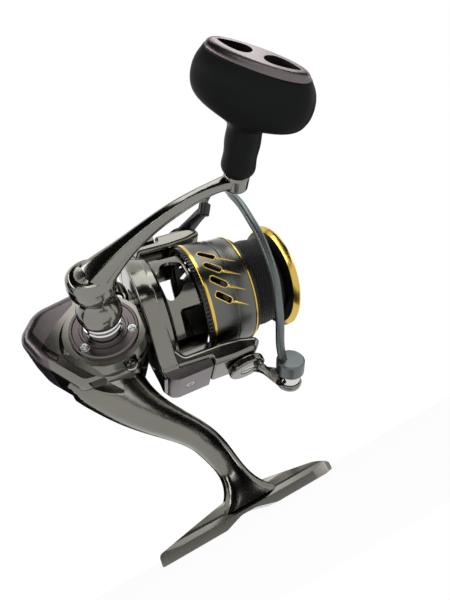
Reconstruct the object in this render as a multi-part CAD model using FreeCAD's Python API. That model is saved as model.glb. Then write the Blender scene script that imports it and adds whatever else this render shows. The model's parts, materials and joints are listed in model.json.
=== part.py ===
"""Spinning reel for fishing, built as separate working pieces.

Units are millimetres.  X runs forward along the spool axis, Z rises from the
rod seat of the foot to the body, and the handle is on the -Y side.  The origin
is the middle of the foot's seat.
"""
import FreeCAD, Part
import math
import os

V = FreeCAD.Vector
X_DIR = V(1, 0, 0)
Y_DIR = V(0, 1, 0)
Z_DIR = V(0, 0, 1)
OUTBOARD = V(0, -1, 0)

# ---- driving sizes -------------------------------------------------------
AXIS_Z = 89.0            # height of the spool axis above the rod seat
CRANK_X = -27.0          # handle axis, measured from the middle of the foot
CRANK_DROP = 11.0        # handle axis below the spool axis
CRANK_Z = AXIS_Z - CRANK_DROP
RUN_FIT = 0.05           # radial clearance of a turning or sliding fit
GAP = 0.35               # free space between pieces that pass each other

FOOT_LENGTH = 65.0
FOOT_WIDTH = 14.7
FOOT_TIP = 2.6
FOOT_EDGE = 3.0          # height of the foot's long edges
CASE_HALF = 15.0         # half thickness of the gear case
WALL = 2.2
CASE_FRONT = -13.2       # front face of the gear case
BOSS_RISE = 3.6          # raised round boss on the handle side
BOSS_R = 16.2

SHAFT_R = 2.0            # main shaft
STROKE = 13.0            # travel of the main shaft
CRANK_SHAFT_R = 4.0
PINION_TIP_R = 3.6
PINION_SHANK_R = 3.4

LIP_X = 57.7             # front edge of the spool
LIP_R = 26.0
FLANGE_R = 23.9
FLANGE_X = 55.0
LINE_FRONT = 53.0
LINE_REAR = 37.2
ARBOR_R = 15.5
LINE_R = 21.3
SKIRT_REAR_X = 13.7
SKIRT_REAR_R = 26.6
SKIRT_FRONT_X = 35.4
SKIRT_FRONT_R = 25.6
SKIRT_WALL = 1.3
RING_WIDTH = 1.4

ROTOR_REAR = -12.2
ROTOR_R = 26.2
CUP_FRONT = 12.0
CUP_R = 23.4
ARM_OUT = 37.0           # outer face of a rotor arm, from the spool axis
ARM_IN = 28.0
ARM_HALF = 9.5
ARM_FRONT = 31.0
PIVOT_X = 23.0           # bail pivot line crosses the spool axis here

WIRE_R = 1.75
ROLLER_R = 4.6

KNOB_X = 24.5            # knob axis when the handle points forward
KNOB_Z = 86.4


# ---- shaping helpers -----------------------------------------------------
def on_spool_axis(shape):
    """Lift a shape modelled about the world X axis to the spool axis."""
    shape.translate(V(0, 0, AXIS_Z))
    return shape


def on_crank_axis(shape):
    """Move a shape modelled about the world Y axis to the handle axis."""
    shape.translate(V(CRANK_X, 0, CRANK_Z))
    return shape


def turned(profile, axis):
    """Revolve (along, radius) points about an axis through the origin."""
    side = Z_DIR
    points = [axis * along + side * radius for along, radius in profile]
    face = Part.Face(Part.makePolygon(points + points[:1]))
    return face.revolve(V(0, 0, 0), axis, 360)


def turned_x(profile):
    return on_spool_axis(turned(profile, X_DIR))


def turned_y(profile):
    """Revolve about the handle axis; 'along' is the distance outboard."""
    return on_crank_axis(turned(profile, OUTBOARD))


def rod(radius, length, start, direction):
    return Part.makeCylinder(radius, length, start, direction)


def corner_path(points, to_vector):
    """Closed wire through (a, b, radius) corners, each corner an arc."""
    count = len(points)
    edges = []
    ends = []
    for i in range(count):
        a0, b0, _ = points[i - 1]
        a1, b1, radius = points[i]
        a2, b2, _ = points[(i + 1) % count]
        back = V(a0 - a1, b0 - b1, 0)
        ahead = V(a2 - a1, b2 - b1, 0)
        half = back.getAngle(ahead) / 2
        reach = radius / math.tan(half) if radius else 0
        reach = min(reach, 0.49 * back.Length, 0.49 * ahead.Length)
        corner = V(a1, b1, 0)
        first = corner + back.normalize() * reach
        last = corner + ahead.normalize() * reach
        middle = None
        if reach > 1e-6:
            bisector = (back + ahead).normalize()
            true_radius = reach * math.tan(half)
            middle = corner + bisector * (reach / math.cos(half) - true_radius)
        ends.append((first, middle, last))
    for i in range(count):
        first, middle, last = ends[i]
        following = ends[(i + 1) % count][0]
        if middle is not None:
            arc = Part.Arc(to_vector(first), to_vector(middle), to_vector(last))
            edges.append(arc.toShape())
        if (following - last).Length > 1e-6:
            edges.append(Part.makeLine(to_vector(last), to_vector(following)))
    return Part.Wire(edges)


def side_plate(points, y_low, y_high):
    """Plate cut from an X-Z outline of (x, z, corner radius) points."""
    wire = corner_path(points, lambda p: V(p.x, y_low, p.y))
    return Part.Face(wire).extrude(V(0, y_high - y_low, 0))


def plan_plate(points, z_low, z_high):
    """Plate cut from an X-Y outline of (x, y, corner radius) points."""
    wire = corner_path(points, lambda p: V(p.x, p.y, z_low))
    return Part.Face(wire).extrude(V(0, 0, z_high - z_low))


def rim_edges(shape, test):
    return [edge for edge in shape.Edges if test(edge)]


def eased(shape, radius, test):
    """Round the edges picked by a test, stepping the radius down if needed."""
    edges = rim_edges(shape, test)
    for factor in (1.0, 0.75, 0.5, 0.3):
        try:
            result = shape.makeFillet(radius * factor, edges)
        except Exception:
            continue
        if result.isValid() and len(result.Solids) == 1:
            return result
    return shape


def in_plane_y(y):
    """Test for edges that lie wholly in the plane of one Y value."""
    def test(edge):
        box = edge.BoundBox
        return abs(box.YMin - y) < 0.01 and abs(box.YMax - y) < 0.01
    return test


def box_between(low, high):
    size = high - low
    return Part.makeBox(size.x, size.y, size.z, low)


def half_turn(shape):
    copy = shape.copy()
    copy.rotate(V(0, 0, AXIS_Z), X_DIR, 180)
    return copy


def one(shape):
    """The single solid of a boolean result."""
    solids = shape.Solids
    solids.sort(key=lambda solid: -solid.Volume)
    return solids[0]


def toothed(radius, depth, count, y_low, y_high):
    """Spur gear blank about the world Y axis with straight-sided teeth."""
    root = radius - depth
    points = []
    for i in range(count):
        pitch = 2 * math.pi / count
        for share, reach in ((-0.28, root), (-0.14, radius), (0.14, radius), (0.28, root)):
            angle = pitch * (i + share)
            points.append(V(reach * math.cos(angle), y_low, reach * math.sin(angle)))
    face = Part.Face(Part.makePolygon(points + points[:1]))
    return face.extrude(V(0, y_high - y_low, 0))


# ---- body and foot -------------------------------------------------------
CASE_OUTLINE = [
    (CASE_FRONT, 104.5, 5), (-34.0, 103.2, 14), (-50.5, 99.2, 11),
    (-57.4, 89.0, 7), (-52.6, 77.5, 20), (-40.0, 61.0, 6),
    (-20.0, 59.5, 6), (CASE_FRONT, 71.0, 5),
]
SEAM = [(-31.5, 112), (-35.5, 95.5), (-43.8, 88.6), (-49.9, 80.4),
        (-48.4, 76.8), (-49.0, 72.4), (-45.4, 66.2), (-38.5, 54)]


def case_block():
    block = side_plate(CASE_OUTLINE, -CASE_HALF, CASE_HALF)
    block = eased(block, 5.5, in_plane_y(-CASE_HALF))
    return eased(block, 7.5, in_plane_y(CASE_HALF))


def case_cavity():
    """Space for the gears, a wall thickness inside the case."""
    outline = corner_path(CASE_OUTLINE, lambda p: V(p.x, 0, p.y))
    inner = outline.makeOffset2D(-WALL)
    face = Part.Face(inner)
    depth = CASE_HALF - WALL
    cavity = face.extrude(V(0, 2 * depth, 0))
    cavity.translate(V(0, -depth, 0))
    for side in (-depth, depth):
        cavity = eased(cavity, 3.3, in_plane_y(side))
    floor = box_between(V(-70, -30, CRANK_Z - 13.5), V(0, 30, 130))
    return cavity.common(floor)


def ring_section(centre, across, half_x, half_y):
    """Rounded oblong section of the stem; 'across' is its in-plane slope."""
    tilt = math.radians(across)
    points = []
    for i in range(24):
        angle = 2 * math.pi * i / 24
        c = math.cos(angle)
        s = math.sin(angle)
        u = math.copysign(abs(c) ** 0.78, c) * half_x
        w = math.copysign(abs(s) ** 0.78, s) * half_y
        points.append(V(centre[0] + u * math.cos(tilt), w, centre[1] + u * math.sin(tilt)))
    curve = Part.BSplineCurve()
    curve.interpolate(Points=points, PeriodicFlag=True)
    return Part.Wire(curve.toShape())


def stem_loft():
    sections = [
        ((-32.5, 70.0), 18, 15.0, 12.8),
        ((-29.6, 61.5), 14, 11.8, 10.6),
        ((-22.8, 49.8), 24, 8.2, 8.6),
        ((-13.8, 39.6), 33, 5.9, 7.0),
        ((-6.0, 30.2), 27, 5.0, 6.0),
        ((-1.9, 20.0), 8, 4.6, 5.4),
        ((-0.3, 12.5), 0, 5.4, 5.4),
        ((0.2, 7.5), 0, 8.4, 6.2),
        ((0.2, 4.0), 0, 13.0, 6.9),
    ]
    wires = [ring_section(*section) for section in sections]
    return Part.makeLoft(wires, True, False)


def foot_blank():
    half = FOOT_LENGTH / 2
    wide = FOOT_WIDTH / 2
    profile = [
        (-half, 0.0, 0.6), (-half, 3.4, 1.2), (-21.0, 5.6, 12), (-10.0, 7.6, 12),
        (0.0, 9.0, 10), (10.0, 8.2, 12), (28.0, 5.4, 12), (half + 0.5, FOOT_TIP, 0.8),
        (half + 0.5, 0.6, 0.3), (half - 3.5, 0.0, 1.0),
        (8.0, 0.0, 3), (0.5, 1.8, 6), (-5.0, 1.8, 6), (-11.0, 0.0, 3),
    ]
    side = side_plate(profile, -wide, wide)
    plan = plan_plate([
        (-half - 0.2, -wide + 1.6, 4.4), (-half + 7, -wide, 10), (half - 9, -wide, 10),
        (half + 0.8, -wide + 2.4, 4.0), (half + 0.8, wide - 2.4, 4.0), (half - 9, wide, 10),
        (-half + 7, wide, 10), (-half - 0.2, wide - 1.6, 4.4)], -1, 12)
    roof = corner_path([
        (-wide - 1, -1, 0), (-wide - 1, FOOT_EDGE - 0.9, 0), (-wide + 2.6, FOOT_EDGE + 1.5, 3),
        (-2.6, 7.4, 5), (-1.4, 12, 2), (1.4, 12, 2), (2.6, 7.4, 5), (wide - 2.6, FOOT_EDGE + 1.5, 3),
        (wide + 1, FOOT_EDGE - 0.9, 0), (wide + 1, -1, 0)], lambda p: V(-half - 5, p.x, p.y))
    ridge = Part.Face(roof).extrude(V(FOOT_LENGTH + 10, 0, 0))
    return one(side.common(plan).common(ridge))


def seam_prism(grow):
    """Solid covering everything behind the rear cover's seam line."""
    outline = [(x + grow, z, 0) for x, z in SEAM] + [(-75, 54, 0), (-75, 112, 0)]
    return side_plate(outline, -30, 30)


def boss_disc(outboard):
    """Raised round boss round the handle axis."""
    base = CASE_HALF - 4
    disc = turned_y([(base, 0), (base, BOSS_R + 0.6), (CASE_HALF, BOSS_R + 0.6),
                     (outboard, BOSS_R - 1.2), (outboard, 0)])
    return disc.common(box_between(V(-80, -30, 40), V(CASE_FRONT, 0, 130)))


NEAR_FACE = CASE_HALF + BOSS_RISE
RING_OUT = 12.6
RING_IN = 7.9
RING_FACE = NEAR_FACE + 1.9
BEARING_OUT_R = 7.6
BEARING_WIDTH = 4.0
NEAR_BEARING = NEAR_FACE - BEARING_WIDTH
FAR_BEARING = CASE_HALF - 1.0
COVER_SCREWS = [(-18.4, 93.4), (-22.0, 63.2)]
SCREW_HEAD_R = 1.9
COLLAR_R = 12.6
COLLAR_FRONT = -9.6
SEAT_REAR = -18.8
SEAT_R = 9.2
CLUTCH_REAR = -16.8
CLUTCH_R = 6.2
PINION_BEARING_REAR = -13.2
PINION_BEARING_R = 8.0
GEAR_R = 11.6


def screw_solid(tip, head_r, shank_r, head_len, length, direction):
    """Cross-head screw; 'tip' is the centre of the head's outer face."""
    inward = V(direction) * -1
    head = rod(head_r, head_len, tip, inward)
    head = head.makeFillet(head_len * 0.35, [head.Edges[0] if head.Edges[0].CenterOfMass.isEqual(tip, 0.01)
                                             else head.Edges[2]])
    shank = rod(shank_r, length - head_len, tip + inward * head_len, inward)
    screw = head.fuse(shank)
    helper = Z_DIR if abs(direction.z) < 0.9 else X_DIR
    first = direction.cross(helper).normalize()
    second = direction.cross(first).normalize()
    for along, across in ((first, second), (second, first)):
        bar = bar_at(tip, along, across, direction, head_r * 1.15, head_r * 0.26, head_len * 0.45)
        screw = screw.cut(bar)
    return one(screw)


def bar_at(centre, along, across, up, length, width, depth):
    """Slot-shaped bar sunk 'depth' below a face, centred on a point."""
    corners = []
    for a, b in ((-1, -1), (1, -1), (1, 1), (-1, 1)):
        corners.append(centre + along * (a * length / 2) + across * (b * width / 2) + up * 0.5)
    face = Part.Face(Part.makePolygon(corners + corners[:1]))
    return face.extrude(up * -(depth + 0.5))


def make_static_body():
    """Gear case, side cover, rear cover and their fixed fittings."""
    outer = case_block().fuse(stem_loft()).fuse(foot_blank())
    outer = outer.fuse(boss_disc(NEAR_FACE))
    far_boss = turned_y([(-CASE_HALF + 4, 0), (-CASE_HALF + 4, 11.5), (-CASE_HALF, 11.5),
                         (-CASE_HALF - 1.6, 10.2), (-CASE_HALF - 1.6, 0)])
    outer = outer.fuse(far_boss)
    collar = turned_x([(CASE_FRONT - 2, 0), (CASE_FRONT - 2, COLLAR_R), (COLLAR_FRONT, COLLAR_R),
                       (COLLAR_FRONT, 0)])
    outer = one(outer.fuse(collar))
    hollow = outer.cut(case_cavity())

    pads = turned_y([(NEAR_BEARING - 1.6, 0), (NEAR_BEARING - 1.6, 10), (NEAR_FACE - 1, 10), (NEAR_FACE - 1, 0)])
    far_pad = turned_y([(-FAR_BEARING + BEARING_WIDTH + 1.4, 0), (-FAR_BEARING + BEARING_WIDTH + 1.4, 10),
                        (-FAR_BEARING - 0.5, 10), (-FAR_BEARING - 0.5, 0)])
    seat = turned_x([(SEAT_REAR, 0), (SEAT_REAR, SEAT_R), (CASE_FRONT, SEAT_R), (CASE_FRONT, 0)])
    pillar_x, pillar_z = COVER_SCREWS[0]
    pillar = rod(3.4, CASE_HALF - 5, V(pillar_x, -4.6, pillar_z), OUTBOARD)
    pillar = pillar.common(box_between(V(-80, -CASE_HALF + 1, 40), V(CASE_FRONT, 0, 130)))
    hollow = hollow.fuse(pads).fuse(far_pad).fuse(seat).fuse(pillar)

    near_bore = turned_y([(5, 0), (5, CRANK_SHAFT_R + GAP), (NEAR_BEARING, CRANK_SHAFT_R + GAP),
                          (NEAR_BEARING, BEARING_OUT_R), (NEAR_FACE + 1, BEARING_OUT_R), (NEAR_FACE + 1, 0)])
    far_bore = turned_y([(-5, 0), (-5, CRANK_SHAFT_R + GAP), (-FAR_BEARING + BEARING_WIDTH, CRANK_SHAFT_R + GAP),
                         (-FAR_BEARING + BEARING_WIDTH, BEARING_OUT_R), (-FAR_BEARING, BEARING_OUT_R),
                         (-FAR_BEARING, 6.2), (-CASE_HALF - 3, 6.2), (-CASE_HALF - 3, 0)])
    front_bore = turned_x([(SEAT_REAR - 1, 0), (SEAT_REAR - 1, PINION_TIP_R + GAP), (CLUTCH_REAR, PINION_TIP_R + GAP),
                           (CLUTCH_REAR, CLUTCH_R), (PINION_BEARING_REAR, CLUTCH_R),
                           (PINION_BEARING_REAR, PINION_BEARING_R), (COLLAR_FRONT + 1, PINION_BEARING_R),
                           (COLLAR_FRONT + 1, 0)])
    gear_room = turned_y([(DRIVE_FACE - GAP, 0), (DRIVE_FACE - GAP, GEAR_R + GAP),
                          (DRIVE_FACE + 6.2, GEAR_R + GAP), (DRIVE_FACE + 6.2, 0)])
    hollow = hollow.cut(near_bore).cut(far_bore).cut(front_bore).cut(gear_room).cut(make_guide_rod())

    for x, z in COVER_SCREWS:
        hollow = hollow.cut(rod(2.7, 6.2, V(x, -CASE_HALF + 3.2, z), OUTBOARD))
        hollow = hollow.cut(rod(1.0, 8.2, V(x, -CASE_HALF + 8.8, z), OUTBOARD))
    for angle in RING_SCREW_ANGLES:
        place = ring_screw_place(angle, NEAR_FACE)
        hollow = hollow.cut(rod(0.8, 4.0, place, Y_DIR))

    pocket = side_plate([(-46.5, 73.4, 1.2), (-44.2, 76.2, 1.2), (-30.5, 60.0, 3), (-12.0, 38.6, 1),
                         (-33.0, 55.5, 6)], -20, -9.6)
    pocket_split = CRANK_Z - 16.0
    deep_pocket = pocket.common(box_between(V(-80, -40, 0), V(0, 0, pocket_split)))
    case_pocket = pocket.common(box_between(V(-80, -40, pocket_split), V(0, -CASE_HALF + 0.9, 130)))
    hollow = hollow.cut(deep_pocket).cut(case_pocket)

    rear_zone = seam_prism(0)
    rear = one(hollow.common(rear_zone).common(box_between(V(-75, -30, 60.5), V(0, 30, 130))))
    main = hollow.cut(rear_zone.common(box_between(V(-75, -30, 60.5), V(0, 30, 130))))
    side_zone = box_between(V(-75, -30, CRANK_Z - 14.6), V(CASE_FRONT + 0.01, -CASE_HALF + 6.5, 130))
    side = one(main.common(side_zone))
    housing = one(main.cut(side_zone))
    return {"body_housing": housing, "body_side_cover": side, "body_rear_cover": rear}


RING_SCREW_ANGLES = (-146.0, -24.0, 92.0)
RING_SCREW_REACH = 10.2


def ring_screw_place(angle, outboard):
    turn = math.radians(angle)
    return V(CRANK_X + RING_SCREW_REACH * math.cos(turn), -outboard, CRANK_Z + RING_SCREW_REACH * math.sin(turn))


def make_bearing_ring():
    """Retaining ring round the handle shaft, with a raised inner lip."""
    f = RING_FACE
    ring = turned_y([(NEAR_FACE, RING_IN - 1.4), (NEAR_FACE, RING_OUT), (f - 0.5, RING_OUT), (f, RING_OUT - 0.5),
                     (f, RING_OUT - 1.1), (f - 0.5, RING_OUT - 1.4), (f - 0.5, 9.0), (f + 0.2, 8.7),
                     (f + 0.2, RING_IN), (f - 0.7, RING_IN - 0.3), (f - 0.7, RING_IN - 1.4)])
    for angle in RING_SCREW_ANGLES:
        place = ring_screw_place(angle, f + 2)
        ring = ring.cut(rod(SCREW_HEAD_R + 0.02, 3.2, place, Y_DIR))
        ring = ring.cut(rod(0.82, 6, place, Y_DIR))
    return one(ring)


def make_ring_screws():
    screws = []
    for angle in RING_SCREW_ANGLES:
        tip = ring_screw_place(angle, RING_FACE - 0.1)
        screws.append(screw_solid(tip, SCREW_HEAD_R, 0.78, 1.1, 4.6, OUTBOARD))
    return Part.makeCompound(screws)


def make_cover_screws():
    screws = []
    for x, z in COVER_SCREWS:
        tip = V(x, -CASE_HALF + 1.6, z)
        screws.append(screw_solid(tip, 2.5, 0.98, 1.6, 7.0, OUTBOARD))
    return Part.makeCompound(screws)


def bearing(inner, outer, start, width, turn):
    """Shielded ball bearing as one ring with a groove between its races."""
    split = (inner + outer) / 2
    half = (outer - inner) * 0.16
    return turn([(start, inner), (start, split - half), (start + 0.3, split - half), (start + 0.3, split + half),
                 (start, split + half), (start, outer), (start + width, outer),
                 (start + width, split + half), (start + width - 0.3, split + half),
                 (start + width - 0.3, split - half), (start + width, split - half), (start + width, inner)])


def make_far_cap():
    """Screwed cap closing the far end of the handle shaft bore."""
    face = CASE_HALF + 3.0
    cap = turned_y([(-CASE_HALF + 0.9, 0), (-CASE_HALF + 0.9, 6.15), (-CASE_HALF - 1.6, 6.15),
                    (-CASE_HALF - 1.6, 9.2), (-face + 0.6, 9.2), (-face, 8.4), (-face, 0)])
    slot = bar_at(V(CRANK_X, face, CRANK_Z), X_DIR, Z_DIR, Y_DIR, 12.0, 1.8, 0.8)
    return one(cap.cut(slot))


def make_guide_rod():
    start = -54.0
    return rod(1.0, SEAT_REAR + 1.4 - start, V(start, 3.3, GUIDE_Z), X_DIR)


GUIDE_Z = AXIS_Z + 5.4


# ---- handle --------------------------------------------------------------
DRIVE_FACE = PINION_TIP_R + GAP
SPUR_R = 6.4
SPUR_LOW = 5.4
SLIDER_LOW = 2.2         # near and far faces of the slider's plate
SLIDER_HIGH = 4.6
SPUR_HIGH = 7.8
OSC_X = -40.7
OSC_DROP = 4.4
OSC_THROW = STROKE / 2
OSC_R = 8.4
COLLAR_TOP = 32.0
BELL_RIM = 31.8
BELL_NECK = 41.4
HUB_IN = 43.4
HUB_OUT = 53.4
HUB_R = 7.7
ARM_BOSS_IN = 67.2
ARM_BOSS_OUT = 73.4
ARM_ARCH = 24.0          # how far the arm bows outboard of a straight line, times four


def make_drive_gear():
    """Crown-toothed drive gear with its hub, pressed on the handle shaft."""
    face = DRIVE_FACE
    gear = turned_y([(face + 1.0, CRANK_SHAFT_R), (face + 1.0, GEAR_R), (face + 3.4, GEAR_R), (face + 3.4, 6.5),
                     (face + 5.6, 6.5), (face + 5.6, CRANK_SHAFT_R)])
    teeth = turned_y([(face, GEAR_R - 2.8), (face + 1.0, GEAR_R - 3.0), (face + 1.0, GEAR_R), (face, GEAR_R)])
    count = 52
    groove = box_between(V(8, -face - 1.0, -0.26), V(14, -face + 1, 0.26))
    grooves = []
    for i in range(count):
        copy = groove.copy()
        copy.rotate(V(0, 0, 0), Y_DIR, 360.0 * i / count)
        grooves.append(on_crank_axis(copy))
    teeth = teeth.cut(Part.makeCompound(grooves))
    return one(gear.fuse(teeth))


def make_drive_shaft():
    """Handle shaft with the small gear that works the oscillation."""
    shaft = turned_y([(-FAR_BEARING + 0.6, 0), (-FAR_BEARING + 0.6, CRANK_SHAFT_R),
                      (HUB_IN - 2.0, CRANK_SHAFT_R), (HUB_IN - 2.0, 0)])
    spur = on_crank_axis(toothed(SPUR_R, 0.9, 20, SPUR_LOW, SPUR_HIGH))
    return one(shaft.fuse(spur))


def make_collar():
    """Stepped chrome collar between the bearing ring and the bell."""
    start = NEAR_FACE + 0.4
    return turned_y([(start, CRANK_SHAFT_R), (start, 6.1), (start + 4.0, 6.1), (start + 4.4, 6.8),
                     (start + 5.6, 6.8), (start + 6.0, 6.3), (start + 6.6, 6.3), (start + 7.0, 6.8),
                     (start + 8.2, 6.8), (start + 8.6, 6.2), (COLLAR_TOP, 6.2), (COLLAR_TOP, CRANK_SHAFT_R)])


def make_bell():
    """Bell-shaped sleeve that narrows to a neck below the handle hub."""
    profile = [(COLLAR_TOP - 2.6, 6.25), (COLLAR_TOP - 2.6, 7.3), (BELL_RIM - 0.4, 7.75), (BELL_RIM + 0.6, 7.7)]
    for step in range(1, 9):
        t = step / 8.0
        along = BELL_RIM + 0.6 + t * (BELL_NECK - BELL_RIM - 0.6)
        profile.append((along, 5.3 + 2.4 * (0.5 + 0.5 * math.cos(math.pi * t))))
    profile += [(HUB_IN, 5.9), (HUB_IN, CRANK_SHAFT_R), (COLLAR_TOP, CRANK_SHAFT_R), (COLLAR_TOP, 6.25)]
    return turned_y(profile)


def arm_centre(t):
    """Centre line of the handle arm from the hub (0) to the knob boss (1)."""
    x = CRANK_X + t * (KNOB_X - CRANK_X)
    z = CRANK_Z + t * (KNOB_Z - CRANK_Z)
    low = HUB_IN + 5.6
    high = (ARM_BOSS_IN + ARM_BOSS_OUT) / 2
    y = -(low + (high - low) * t + ARM_ARCH * t * (1 - t))
    return V(x, y, z)


def arm_section(t, half_wide, half_thick):
    ahead = (arm_centre(t + 0.01) - arm_centre(t - 0.01)).normalize()
    across = ahead.cross(OUTBOARD).normalize()
    up = across.cross(ahead).normalize()
    centre = arm_centre(t)
    points = []
    for i in range(20):
        angle = 2 * math.pi * i / 20
        c = math.cos(angle)
        s = math.sin(angle)
        u = math.copysign(abs(c) ** 0.75, c) * half_wide
        w = math.copysign(abs(s) ** 0.75, s) * half_thick
        points.append(centre + across * u + up * w)
    curve = Part.BSplineCurve()
    curve.interpolate(Points=points, PeriodicFlag=True)
    return Part.Wire(curve.toShape())


def make_handle_arm():
    """Hub, swept arm and knob boss in one piece."""
    hub = turned_y([(HUB_IN, 0), (HUB_IN, HUB_R - 2.0), (HUB_IN + 2.2, HUB_R - 0.3), (HUB_IN + 4.6, HUB_R),
                    (HUB_OUT - 2.2, HUB_R - 0.4), (HUB_OUT - 0.5, HUB_R - 1.8), (HUB_OUT, HUB_R - 3.4),
                    (HUB_OUT, 0)])
    sizes = [(0.0, 6.2, 4.4), (0.1, 5.0, 3.9), (0.2, 3.7, 3.1), (0.32, 2.8, 2.6), (0.46, 2.4, 2.3),
             (0.62, 2.15, 2.1), (0.78, 2.0, 1.9), (0.9, 2.4, 1.9), (1.0, 3.3, 2.0)]
    arm = Part.makeLoft([arm_section(*size) for size in sizes], True, False)
    boss = rod(4.4, ARM_BOSS_OUT - ARM_BOSS_IN, V(KNOB_X, -ARM_BOSS_IN, KNOB_Z), OUTBOARD)
    boss = boss.makeFillet(1.2, [edge for edge in boss.Edges if edge.Length > 10 and len(edge.Vertexes) == 1])
    whole = hub.fuse(arm).fuse(boss)
    bore = turned_y([(HUB_IN - 1, 0), (HUB_IN - 1, 2.4), (HUB_IN + 5.0, 2.4), (HUB_IN + 5.0, 0)])
    whole = whole.cut(bore)
    whole = whole.cut(rod(1.75, 8, hub_screw_point(5.1), hub_screw_direction()))
    whole = whole.cut(rod(0.92, 3.4, hub_screw_point(2.2), hub_screw_direction()))
    whole = whole.cut(rod(2.0, 14, V(KNOB_X, -ARM_BOSS_IN + 2, KNOB_Z), OUTBOARD))
    return one(whole)


def hub_screw_direction():
    turn = math.radians(-48)
    return V(math.cos(turn), 0, math.sin(turn))


def hub_screw_point(reach):
    """Point on the hub screw's axis, 'reach' from the handle axis."""
    return V(CRANK_X, -HUB_IN - 3.9, CRANK_Z) + hub_screw_direction() * reach


def make_hub_screw():
    """Cross-head screw that pins the handle hub to its shaft tenon."""
    return screw_solid(hub_screw_point(6.6), 1.72, 0.9, 1.5, 4.1, hub_screw_direction())


def make_handle_tenon():
    """Square-ended tenon that carries the hub on the shaft."""
    return turned_y([(HUB_IN - 2.0, 0), (HUB_IN - 2.0, CRANK_SHAFT_R), (HUB_IN - 0.0, CRANK_SHAFT_R),
                     (HUB_IN - 0.0, 2.38), (HUB_IN + 2.7, 2.38), (HUB_IN + 2.7, 0)])


KNOB_BASE = 74.2
KNOB_TOP = 108.2
KNOB_TILT = -53.0        # long way of the T grip, from X toward Z
POST_R = 2.0
POST_END = 97.0


def knob_section(outboard, half_long, half_short, power):
    tilt = math.radians(KNOB_TILT)
    points = []
    for i in range(32):
        angle = 2 * math.pi * i / 32
        c = math.cos(angle)
        s = math.sin(angle)
        u = math.copysign(abs(c) ** power, c) * half_long
        w = math.copysign(abs(s) ** power, s) * half_short
        points.append(V(KNOB_X + u * math.cos(tilt) - w * math.sin(tilt), -outboard,
                        KNOB_Z + u * math.sin(tilt) + w * math.cos(tilt)))
    curve = Part.BSplineCurve()
    curve.interpolate(Points=points, PeriodicFlag=True)
    return Part.Wire(curve.toShape())


KNOB_SECTIONS = [
    (KNOB_BASE, 5.0, 5.0, 1.0), (KNOB_BASE + 1.0, 5.5, 5.5, 1.0), (80.0, 5.3, 5.2, 1.0), (87.5, 5.3, 5.1, 1.0),
    (90.4, 6.1, 5.5, 1.0), (92.0, 9.2, 6.4, 0.92), (93.2, 13.4, 6.8, 0.8), (94.8, 16.0, 7.3, 0.74),
    (97.6, 17.3, 7.9, 0.7), (101.0, 17.3, 7.8, 0.72), (104.2, 16.3, 6.8, 0.8), (106.5, 14.9, 5.3, 0.9),
]
PLATE_SEAT = 106.5


def make_knob_grip():
    wires = [knob_section(*section) for section in KNOB_SECTIONS]
    grip = Part.makeLoft(wires, True, False)
    bore = rod(4.0, 60, V(KNOB_X, -KNOB_BASE + 3, KNOB_Z), OUTBOARD)
    bore = bore.common(box_between(V(0, -POST_END - 3.0, 60), V(60, -60, 120)))
    rim = Part.makeLoft([knob_section(PLATE_SEAT - 2.2, 12.6, 3.6, 0.95),
                         knob_section(PLATE_SEAT + 1.0, 12.6, 3.6, 0.95)], True, False)
    return one(grip.cut(bore).cut(rim))


def make_knob_plate():
    """End plate of the grip with two leaf-shaped openings."""
    plug = Part.makeLoft([knob_section(PLATE_SEAT - 2.2, 12.55, 3.55, 0.95),
                          knob_section(PLATE_SEAT, 12.55, 3.55, 0.95)], True, False)
    cap = Part.makeLoft([knob_section(PLATE_SEAT, 14.7, 5.1, 0.92),
                         knob_section(PLATE_SEAT + 0.9, 14.2, 4.7, 0.95),
                         knob_section(KNOB_TOP, 12.8, 3.7, 1.0)], True, False)
    plate = one(plug.fuse(cap))
    for side in (-1, 1):
        leaf = Part.makeLoft([leaf_section(PLATE_SEAT - 0.9, side), leaf_section(KNOB_TOP + 1, side)], True, False)
        plate = plate.cut(leaf)
    return one(plate)


def leaf_section(outboard, side):
    tilt = math.radians(KNOB_TILT)
    points = []
    for i in range(16):
        angle = 2 * math.pi * i / 16
        u = side * (6.6 + 4.9 * math.cos(angle))
        taper = 1.0 - 0.45 * math.cos(angle)
        w = 2.1 * math.sin(angle) * taper
        points.append(V(KNOB_X + u * math.cos(tilt) - w * math.sin(tilt), -outboard,
                        KNOB_Z + u * math.sin(tilt) + w * math.cos(tilt)))
    curve = Part.BSplineCurve()
    curve.interpolate(Points=points, PeriodicFlag=True)
    return Part.Wire(curve.toShape())


def knob_tube(profile):
    shape = turned(profile, OUTBOARD)
    shape.translate(V(KNOB_X, 0, KNOB_Z))
    return shape


def make_knob_post():
    """Post riveted in the arm boss, with a shoulder under the knob."""
    return knob_tube([(ARM_BOSS_IN + 2, 0), (ARM_BOSS_IN + 2, POST_R), (ARM_BOSS_OUT, POST_R),
                      (ARM_BOSS_OUT, 3.6), (KNOB_BASE - 0.3, 3.6), (KNOB_BASE - 0.3, POST_R),
                      (POST_END, POST_R), (POST_END, 0)])


def make_knob_bearings():
    rings = []
    for start in (KNOB_BASE + 3.0, POST_END - 4.6):
        ring = bearing(POST_R + RUN_FIT, 4.0, start, 3.0, lambda profile: knob_tube(profile))
        rings.append(ring)
    return Part.makeCompound(rings)


def make_knob_screw():
    """Screw and washer that keep the knob's outer bearing on its post."""
    return knob_tube([(POST_END, 0), (POST_END, 3.3), (POST_END + 1.4, 3.0), (POST_END + 1.4, 1.0),
                      (POST_END + 0.7, 1.0), (POST_END + 0.7, 0)])


# ---- oscillation ---------------------------------------------------------
OSC_PIN_R = 1.25


def osc_centre():
    return V(OSC_X, 0, AXIS_Z - OSC_DROP)


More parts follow.
